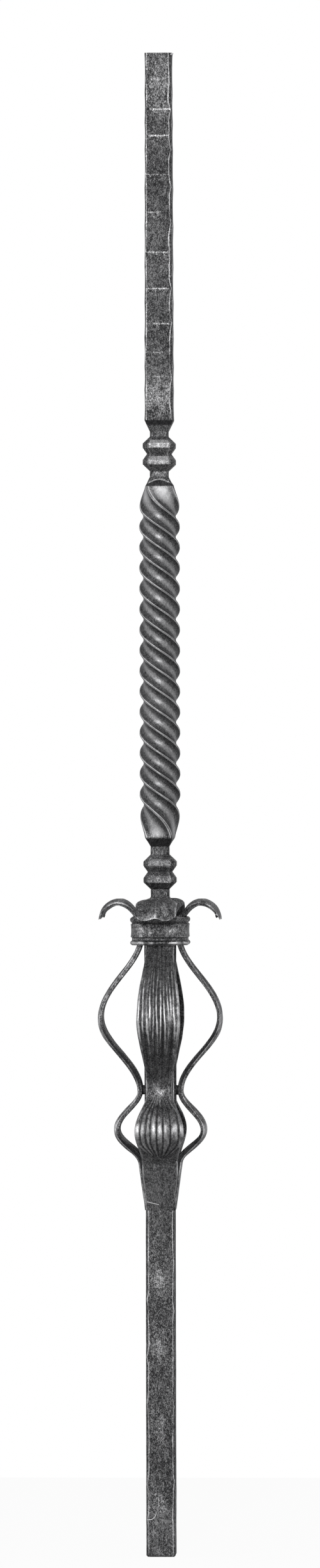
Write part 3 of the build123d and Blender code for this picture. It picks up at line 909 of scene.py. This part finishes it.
def leaf_paint(points, shares, kinds, leg, seed, painted_side_light):
    """Wear, soot and polish of each point of a leaf strap, with painted highlights and painted shade."""
    fine = standing_out(points)
    kinds, across, leg = kinds[None, :], shares[None, :], leg[:, None]
    on_show, on_side, on_back = ((kinds == kind).astype(float) for kind in ("show", "side", "back"))
    patches, streaks = (patchy(points, spots, seed) for spots in (LEAF_PATCHES, LEAF_STREAKS))
    wear_and_highlight = on_show * show_wear_and_highlights(fine, leg, across, patches, streaks)
    arris = ARRIS_WEAR * bell(1.0, ARRIS_WIDTH, np.abs(across)) * (1 - on_side)
    wear_and_highlight = wear_and_highlight + arris * np.clip(ARRIS_USUAL + uneven(points, ARRIS_BREAKS, seed), 0, 1)
    on_curl = stepped(CURL_LEGS, leg) * on_back
    curl_lines = on_curl * bells(CURL_LINES, across)
    # Painted highlights on the narrow sides and along the lines of the curl
    lit = painted_side_light * on_side * bells(SIDE_HIGHLIGHTS, leg) + CURL_LINE_HIGHLIGHT * curl_lines
    wear_and_highlight = wear_and_highlight + lit * mixed(WAIST_PATCHES, patches) + on_curl * mixed(CURL_PATCHES, patches)
    wear_and_highlight = wear_and_highlight + stepped(TIP_EDGE, leg) * (1 - on_show) * mixed(TIP_PATCHES, patches)
    soot_and_shade = stepped(LEAF_LOWS, -fine) * (1 - on_side) * (1 - curl_lines)
    # Darker back face, up to the curl
    soot_and_shade = soot_and_shade + stepped(BACK_DARKENING, leg) * on_back
    # Painted shade on the narrow sides
    dark_side = DARK_SIDE_SHADE * sum(window(*stretch, leg) for stretch in DARK_SIDES)
    soot_and_shade = soot_and_shade + on_side * (dark_side + DIM_SIDE_SHADE * max(0.0, 1 - painted_side_light))
    polish = on_show * (SHOW_POLISH - bells(WAIST_DULL, leg))
    return wear_and_highlight, soot_and_shade, polish + BACK_POLISH * on_back + SIDE_POLISH * on_side


# Leaf straps: the node, its turn about the bar, its seed, and the painted light on its narrow sides, with
# painted shade where it is below 1
LEAVES = (
    ("leaf_right", 0.0, 200, 0.4),
    ("leaf_back", math.pi / 2, 300, 1.0),
    ("leaf_left", math.pi, 400, 1.4),
    ("leaf_front", 3 * math.pi / 2, 100, 1.0),
)

# Scratch at the foot and spatter at the knee of the front strap: ends, number of rings and radius
LEAF_MARKS = (
    ((13.35, -10.2, 283.6), (13.1, -1.0, 281.4), 16, 0.3),
    ((17.0, 12.9, 315.6), (17.3, 13.3, 316.4), 4, 0.7),
)

# Weld at the waist: from near the bar outwards in so many rings, its half width and half height,
# how square it is, and its lumps
WELD_SPAN = (CORE_HALF + 0.1, 15.4, 7)
WELD_HALVES = (5.6, 3.6)
WELD_POWER = 0.6
WELD_LUMPS = (0.5, 4.0)
WELD_SEEDS = (7, 8)
WELD_POINTS = 28
WELD_PAINT = (0.05, 0.7, 0.0)


def squared(value):
    """Cosine or sine drawn towards its ends, which makes a circle a rounded square."""
    return np.sign(value) * np.abs(value) ** WELD_POWER


def weld_lump(seed):
    """Weld that bridges the right-hand strap and the bar at the waist."""
    steps = np.linspace(0, 2 * math.pi, WELD_POINTS, endpoint=False)
    rings = np.linspace(*WELD_SPAN)
    half_width, half_height = WELD_HALVES
    points = np.zeros((len(rings), WELD_POINTS, 3))
    points[:, :, 0] = rings[:, None]
    points[:, :, 1] = half_width * squared(np.cos(steps))[None, :]
    points[:, :, 2] = WAIST_Z + half_height * squared(np.sin(steps))[None, :]
    depth, size = WELD_LUMPS
    lumps = [field(points, size, seed + step) for step in WELD_SEEDS]
    points[:, :, 1:] += depth * np.stack(lumps, -1)
    return points


def make_leaf(node, turn, seed, painted_side_light):
    """One leaf strap with its weld to the bar."""
    rows = leaf_rows()
    leg = rows[:, -1]
    points, shares, kinds = leaf_surface(rows, seed)
    paint = leaf_paint(points, shares, kinds, leg, seed, painted_side_light)
    shape = Shape()
    shape.add(turned(points, turn + CURL_TURN * smoothstep(*CURL_TURN_LEGS, leg)), *paint)
    shape.add(turned(weld_lump(seed), turn), *WELD_PAINT)
    if node == "leaf_front":
        for *ends, radius in LEAF_MARKS:
            shape.add(turned(thread(np.linspace(*ends), radius), turn), *MARK_PAINT)
    return shape.piece(node + "_strap", node, LEAF_SHARP)


# Collar: distance out from the band's flat at heights above its lower edge, and its rounded square
COLLAR_LOW_Z = 488.5
COLLAR_HEIGHT = 22.5
COLLAR_HALF = 22.9
COLLAR_CORNER = 9.5
COLLAR_BORE = 20.6
COLLAR_PROFILE = (
    (0.0, -0.9), (0.5, 0.1), (1.2, 0.65), (1.9, 0.8), (2.7, 0.6), (3.4, 0.0), (3.8, -0.7),
    (5.0, -0.75), (6.0, -0.65), (6.4, 0.2), (6.8, 0.3), (7.3, 0.12), (9.5, -0.05),
    (12.0, -0.1), (14.5, -0.02), (16.0, 0.15), (16.4, 0.32), (16.8, 0.2), (17.1, -0.6),
    (17.6, -0.75), (18.0, -0.6), (18.5, 0.1), (19.3, 0.62), (20.2, 0.8), (21.2, 0.6),
    (22.0, 0.0), (22.5, -0.9),
)
COLLAR_STEP = 0.22
COLLAR_SOFTENING = (0.22, 0.56, 0.22)
BORE_POINTS = 7
BORE_MARGIN = 0.5
FLAT_POINTS = 28
CORNER_POINTS = 16
COLLAR_SHARP = 50

# Its wave in height and its dents, with the skin that the dents may take up
COLLAR_WAVE = ((0.4, 18.0, 61),)
COLLAR_WAVE_STRETCH = (1, 1, 0.1)
COLLAR_DENTS = ((0.13, 9.0, 62), (0.08, 3.0, 63))
COLLAR_SKIN = 0.1

# Its wear: crests, spots across the front, heights that shine or are dull, and dots in a groove
COLLAR_CRESTS = (0.85, 0.02, 0.14)
CREST_PATCHES = (0.45, 0.55)
UPPER_ROLL_DULL = ((0.45, 20.3, 1.6),)
BAND_SPOTS = ((0.75, -14.5, 2.2), (0.45, -8.0, 1.6), (0.6, 9.0, 3.6))
BAND_MIDDLE = ((1.0, 11.5, 4.2),)
BAND_WEAR = 0.14
BAND_GRIT = (0.35, 0.75)
LOWER_ROLL = ((1.0, 1.9, 1.2),)
LOWER_ROLL_PATCHES = (0.15, 0.7)
DOT_GROOVE = ((0.8, 5.0, 0.5),)
COLLAR_PATCHES = (0.0, 0.5, 5.0, 64, 1.0)
COLLAR_GRIT = (-0.2, 0.5, 2.4, 66, 1.0)
COLLAR_DOTS = (0.3, 0.6, 1.6, 65, 0.4)
COLLAR_LOWS = (1.0, 0.015, 0.12)
COLLAR_POLISH = 0.45


def collar_outline():
    """Height and distance out of the points round the band's section."""
    profile = np.array(COLLAR_PROFILE)
    rise = np.arange(0.0, COLLAR_HEIGHT + 0.01, COLLAR_STEP)
    proud = np.interp(rise, profile[:, 0], profile[:, 1])
    proud = np.convolve(np.pad(proud, 1, "edge"), COLLAR_SOFTENING, "valid")
    bore_rise = np.linspace(0.0, COLLAR_HEIGHT, BORE_POINTS + 2)[1:-1]
    rise = np.concatenate([rise[::-1], bore_rise])
    proud = np.concatenate([proud[::-1], np.full(BORE_POINTS, COLLAR_BORE - COLLAR_HALF)])
    return rise, proud


def collar_surface(rise, proud):
    """Sections of the band, all round its square."""
    flat = COLLAR_HALF - COLLAR_CORNER
    spots = [(flat * share, 0.0) for share in np.linspace(-1, 1, FLAT_POINTS + 1)[:-1]]
    spots += [(flat, share * math.pi / 2) for share in np.linspace(0, 1, CORNER_POINTS + 1)[:-1]]
    rings = []
    for side in range(SIDES):
        for along, bend in spots:
            out = flat + (COLLAR_CORNER + proud) * math.cos(bend)
            across = along + (COLLAR_CORNER + proud) * math.sin(bend)
            rings.append(faced(out, across, COLLAR_LOW_Z + rise, side * math.pi / 2))
    points = np.array(rings)
    middle = np.sin(np.pi * rise / COLLAR_HEIGHT)[None, :]
    points[:, :, 2] += middle * uneven(points * COLLAR_WAVE_STRETCH, COLLAR_WAVE)
    return points


def collar_paint(points, outside):
    """Wear, soot and polish of each point of the band."""
    fine = standing_out(points, closed=True)
    x, rise = points[:, :, 0], points[:, :, 2] - COLLAR_LOW_Z
    spots = (COLLAR_PATCHES, COLLAR_GRIT, COLLAR_DOTS)
    patches, grit, dots = (patchy(points, kind) for kind in spots)
    band = bells(BAND_SPOTS, x) * mixed(BAND_GRIT, grit) + BAND_WEAR
    front = bells(BAND_MIDDLE, rise) * band + bells(DOT_GROOVE, rise) * dots
    front = front + bells(LOWER_ROLL, rise) * mixed(LOWER_ROLL_PATCHES, patches)
    crests = stepped(COLLAR_CRESTS, fine) * mixed(CREST_PATCHES, patches)
    wear_and_highlight = crests * (1 - bells(UPPER_ROLL_DULL, rise)) + outside * front
    return wear_and_highlight, stepped(COLLAR_LOWS, -fine), COLLAR_POLISH


def make_collar():
    """The band round the four throats."""
    rise, proud = collar_outline()
    outside = (proud > COLLAR_BORE - COLLAR_HALF + BORE_MARGIN).astype(float)[None, :]
    points = collar_surface(rise, proud)
    dents = (uneven(points, COLLAR_DENTS) - COLLAR_SKIN) * outside
    points = points + ring_normals(points, True) * dents[:, :, None]
    shape = Shape()
    shape.add(points, *collar_paint(points, outside), closed=True)
    return shape.piece("collar_band", "collar", COLLAR_SHARP)


class Nodes:
    """Short way to add and join the nodes of one material."""

    def __init__(self, owner):
        owner.use_nodes = True
        self.tree = owner.node_tree
        self.tree.nodes.clear()

    def add(self, kind, **settings):
        node = self.tree.nodes.new("ShaderNode" + kind)
        for key, value in settings.items():
            setattr(node, key, value)
        return node

    def put(self, source, socket):
        if isinstance(source, (int, float, tuple)):
            socket.default_value = source
        else:
            self.tree.links.new(source, socket)

    def math(self, operation, *values):
        node = self.add("Math", operation=operation)
        for value, socket in zip(values, node.inputs):
            self.put(value, socket)
        return node.outputs[0]

    def noise(self, place, *settings):
        node = self.add("TexNoise")
        self.put(place, node.inputs["Vector"])
        for name, value in zip(("Scale", "Detail", "Roughness", "Distortion"), settings):
            node.inputs[name].default_value = value
        return node.outputs["Fac"]

    def ramp(self, value, low, high, out_low=0.0, out_high=1.0):
        node = self.add("MapRange", clamp=True)
        names = ("Value", "From Min", "From Max", "To Min", "To Max")
        for source, name in zip((value, low, high, out_low, out_high), names):
            self.put(source, node.inputs[name])
        return node.outputs["Result"]

    def blend(self, value, target, share):
        """Number drawn from value towards target by share."""
        gap = self.math("SUBTRACT", target, value)
        return self.math("MULTIPLY_ADD", gap, share, value)

    def mix(self, share, first, second):
        node = self.add("Mix", data_type="RGBA")
        sockets = [socket for socket in node.inputs if socket.type == "RGBA"]
        self.put(share, node.inputs["Factor"])
        self.put(first, sockets[0])
        self.put(second, sockets[1])
        return next(socket for socket in node.outputs if socket.type == "RGBA")


# Colours of the iron: bare iron also serves the painted highlights, and soot the painted shade
SCALE_DARK = (0.020, 0.020, 0.021, 1.0)
SCALE_PALE = (0.29, 0.29, 0.295, 1.0)
BARE_IRON_AND_HIGHLIGHT = (0.64, 0.64, 0.65, 1.0)
SOOT_AND_SHADE = (0.012, 0.012, 0.013, 1.0)
EDGE_TINT = (0.30, 0.30, 0.31, 1.0)

# Speck, worm, mottle and patch of the scale: scale, detail, roughness and distortion of the noise,
# then the range of it that counts and what its ends add to the tone
GRAIN = (
    ((1250.0, 4.0, 0.7, 1.0), (0.42, 0.64, -0.1, 0.6)),
    ((680.0, 3.0, 0.6, 1.8), (0.45, 0.61, -0.06, 0.5)),
    ((190.0, 4.0, 0.6, 0.8), (0.35, 0.68, -0.1, 0.2)),
    ((30.0, 3.0, 0.55, 0.0), (0.38, 0.66, -0.08, 0.12)),
)
GRAIN_STRETCH = (1.0, 1.0, 0.62)

# How polish evens things out: the value that it draws to, and how far
CALM_TONE = (0.3, 0.6)
CALM_BITE = (1.1, 0.7)
CALM_METAL = (0.8, 0.6)
CALM_ROUGHNESS = (0.3, 0.9)

# Ramps of the material: start and end of what goes in, then of what comes out
TONE_RAMP = (0.1, 1.0)
BITE_RAMP = (0.15, 0.9, 0.3, 1.4)
WORM_BARE_RAMP = (0.62, 0.72, 0.0, 0.16)
RUBBED_RAMP = (0.08, 1.0)
SOOT_AND_SHADE_RAMP = (0.1, 1.0, 0.0, 0.8)
METAL_RAMP = (0.0, 1.0, 0.35, 0.8)
ROUGHNESS_RAMP = (0.0, 1.0, 0.54, 0.35)
SPECK_ROUGH_RAMP = (0.3, 0.7, -0.04, 0.06)
BUMP_RAMP = (0.0, 1.0, 0.7, 0.3)
SOOT_AND_SHADE_COVER = 0.4
SPECULAR = 0.3
BUMP_HEIGHT = 0.4 * MM
SPECK_BUMP = 0.5
WORM_BUMP = 0.9


def grain(nodes, seed):
    """Mottle of the scale, with its two fine noises."""
    shifted = nodes.add("Mapping")
    nodes.put(nodes.add("TexCoord").outputs["Object"], shifted.inputs["Vector"])
    shifted.inputs["Location"].default_value = rng(seed).uniform(-3, 3, 3)
    shifted.inputs["Scale"].default_value = GRAIN_STRETCH
    place = shifted.outputs["Vector"]
    noises = [nodes.noise(place, *settings) for settings, _ in GRAIN]
    tone, *more = [nodes.ramp(value, *tones) for value, (_, tones) in zip(noises, GRAIN)]
    for addition in more:
        tone = nodes.math("ADD", tone, addition)
    speck, worm, *_ = noises
    return tone, speck, worm


def calmed(nodes, value, polish, calm):
    """The value, drawn to its calm one where the iron is polished."""
    target, share = calm
    return nodes.blend(value, target, nodes.math("MULTIPLY", polish, share))


def iron_colour(nodes, tone, worm, wear_and_highlight, soot_and_shade, polish):
    """Colour of the iron, darkened by soot and painted shade, and its share of bare iron from wear and
    painted highlights.
    """
    calm_tone = calmed(nodes, tone, polish, CALM_TONE)
    scale_colour = nodes.mix(nodes.ramp(calm_tone, *TONE_RAMP), SCALE_DARK, SCALE_PALE)
    bite = calmed(nodes, nodes.ramp(tone, *BITE_RAMP), polish, CALM_BITE)
    rubbed = nodes.math("MULTIPLY", wear_and_highlight, bite)
    rubbed = nodes.math("ADD", rubbed, nodes.ramp(worm, *WORM_BARE_RAMP))
    rubbed = nodes.math("SUBTRACT", rubbed, nodes.math("MULTIPLY", soot_and_shade, SOOT_AND_SHADE_COVER))
    rubbed = nodes.ramp(rubbed, *RUBBED_RAMP)
    colour = nodes.mix(rubbed, scale_colour, BARE_IRON_AND_HIGHLIGHT)
    return nodes.mix(nodes.ramp(soot_and_shade, *SOOT_AND_SHADE_RAMP), colour, SOOT_AND_SHADE), rubbed


def iron_bump(nodes, speck, worm, polish):
    """Fine bump of the scale, softer where the iron is polished."""
    bump = nodes.add("Bump")
    nodes.put(nodes.ramp(polish, *BUMP_RAMP), bump.inputs["Strength"])
    bump.inputs["Distance"].default_value = BUMP_HEIGHT
    worms = nodes.math("MULTIPLY", worm, WORM_BUMP)
    nodes.put(nodes.math("MULTIPLY_ADD", speck, SPECK_BUMP, worms), bump.inputs["Height"])
    return bump.outputs["Normal"]


def forged_iron(name, seed):
    """Dark mill scale, rubbed through to bare iron on the high places, with painted highlights and painted
    shade.
    """
    material = bpy.data.materials.new(name)
    nodes = Nodes(material)
    tone, speck, worm = grain(nodes, seed)
    wear_and_highlight, soot_and_shade, polish = (
        nodes.add("Attribute", attribute_name=layer).outputs["Fac"] for layer in ("wear_and_highlight", "soot_and_shade", "polish")
    )
    colour, rubbed = iron_colour(nodes, tone, worm, wear_and_highlight, soot_and_shade, polish)
    metallic = calmed(nodes, nodes.ramp(rubbed, *METAL_RAMP), polish, CALM_METAL)
    rough = calmed(nodes, nodes.ramp(rubbed, *ROUGHNESS_RAMP), polish, CALM_ROUGHNESS)
    rough = nodes.math("ADD", rough, nodes.ramp(speck, *SPECK_ROUGH_RAMP))
    shader = nodes.add("BsdfPrincipled")
    nodes.put(colour, shader.inputs["Base Color"])
    nodes.put(metallic, shader.inputs["Metallic"])
    nodes.put(rough, shader.inputs["Roughness"])
    nodes.put(iron_bump(nodes, speck, worm, polish), shader.inputs["Normal"])
    shader.inputs["Specular IOR Level"].default_value = SPECULAR
    shader.inputs["Specular Tint"].default_value = EDGE_TINT
    nodes.put(shader.outputs["BSDF"], nodes.add("OutputMaterial").inputs["Surface"])
    return material


def dress(piece, node, seed):
    """Gives the piece its finish and its place on the frame."""
    piece.data.materials.append(forged_iron(node + "_iron", seed))
    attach(piece, "root")
    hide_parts(node)


dress(make_stem(), "stem", 1)
for node, turn, seed, painted_side_light in LEAVES:
    dress(make_leaf(node, turn, seed, painted_side_light), node, seed)
dress(make_collar(), "collar", 7)

# Camera: a long lens at half height, a little to the right of the front face
FRAME_HEIGHT = 2448
MM_PER_PIXEL = 0.5116
SENSOR = 36.0
CAMERA_DISTANCE = 8.0
CAMERA_REACH = 60.0
CAMERA_AZIMUTH = math.radians(2.2)
CAMERA_ELEVATION = math.radians(0.5)
CAMERA_ROLL = math.radians(0.11)
VIEW_CENTRE = Vector((0.0, 0.0, 616.9 * MM))

# Soft boxes, in metres and watts: name, place, what it faces, width, height and power
LIGHTS = (
    ("key", (-0.1, -2.6, 1.1), (0, 0, 0.62), 0.3, 1.6, 27.0),
    ("side", (-2.0, -1.2, 0.9), (0, 0, 0.6), 0.4, 1.6, 4.0),
    ("top", (0.0, -0.5, 2.6), (0, 0, 0.6), 0.8, 0.8, 6.0),
)

# White surroundings: the light of the world, and the floor with its white share
WHITE = (1, 1, 1, 1)
WORLD_STRENGTH = 0.25
FLOOR_HALF = 0.8
FLOOR_COLOUR = (0.9, 0.9, 0.9, 1)
FLOOR_WHITE = 0.95


def make_camera():
    """Camera at the photograph's angle and framing."""
    data = bpy.data.cameras.new("camera")
    data.sensor_width = SENSOR
    data.lens = SENSOR * CAMERA_DISTANCE / (FRAME_HEIGHT * MM_PER_PIXEL * MM)
    data.clip_end = CAMERA_REACH
    camera = bpy.data.objects.new("camera", data)
    level = math.cos(CAMERA_ELEVATION)
    sideways, forwards = math.sin(CAMERA_AZIMUTH) * level, -math.cos(CAMERA_AZIMUTH) * level
    away = Vector((sideways, forwards, math.sin(CAMERA_ELEVATION)))
    camera.location = VIEW_CENTRE + away * CAMERA_DISTANCE
    camera.rotation_mode = "QUATERNION"
    roll = Quaternion((0, 0, 1), -CAMERA_ROLL)
    camera.rotation_quaternion = (-away).to_track_quat("-Z", "Y") @ roll
    bpy.context.scene.collection.objects.link(camera)
    bpy.context.scene.camera = camera


def area_light(name, place, target, width, height, power):
    """Soft box at place, facing target."""
    data = bpy.data.lights.new(name, "AREA")
    data.shape = "RECTANGLE"
    data.size, data.size_y = width, height
    data.energy = power
    lamp = bpy.data.objects.new(name, data)
    lamp.location = place
    lamp.rotation_mode = "QUATERNION"
    lamp.rotation_quaternion = (Vector(target) - Vector(place)).to_track_quat("-Z", "Y")
    bpy.context.scene.collection.objects.link(lamp)


def pale_world():
    """White for the camera and for gloss, and dimmer as a light."""
    world = bpy.data.worlds.new("world")
    bpy.context.scene.world = world
    nodes = Nodes(world)
    path = nodes.add("LightPath")
    seen = nodes.math("MAXIMUM", path.outputs["Is Camera Ray"], path.outputs["Is Glossy Ray"])
    seen = nodes.math("MAXIMUM", seen, path.outputs["Is Transmission Ray"])
    background = nodes.add("Background")
    background.inputs["Color"].default_value = WHITE
    nodes.put(nodes.ramp(seen, 0.0, 1.0, WORLD_STRENGTH, 1.0), background.inputs["Strength"])
    nodes.put(background.outputs["Background"], nodes.add("OutputWorld").inputs["Surface"])


def floor_material():
    """Pale floor paint, white to the camera, that keeps a soft shadow."""
    material = bpy.data.materials.new("floor_white")
    nodes = Nodes(material)
    diffuse = nodes.add("BsdfDiffuse")
    diffuse.inputs["Color"].default_value = FLOOR_COLOUR
    glow = nodes.add("Emission")
    path = nodes.add("LightPath")
    blend = nodes.add("MixShader")
    nodes.put(nodes.ramp(path.outputs["Is Camera Ray"], 0.0, 1.0, 0.0, FLOOR_WHITE), blend.inputs["Fac"])
    nodes.put(diffuse.outputs["BSDF"], blend.inputs[1])
    nodes.put(glow.outputs["Emission"], blend.inputs[2])
    nodes.put(blend.outputs["Shader"], nodes.add("OutputMaterial").inputs["Surface"])
    return material


def make_floor():
    """Pale square floor under the bar."""
    mesh = bpy.data.meshes.new("floor")
    size = FLOOR_HALF
    corners = [(-size, -size, 0), (size, -size, 0), (size, size, 0), (-size, size, 0)]
    mesh.from_pydata(corners, [], [(0, 1, 2, 3)])
    mesh.materials.append(floor_material())
    floor = bpy.data.objects.new("floor", mesh)
    bpy.context.scene.collection.objects.link(floor)


make_camera()
pale_world()
make_floor()
for light in LIGHTS:
    area_light(*light)

bpy.context.scene.view_settings.view_transform = "Standard"
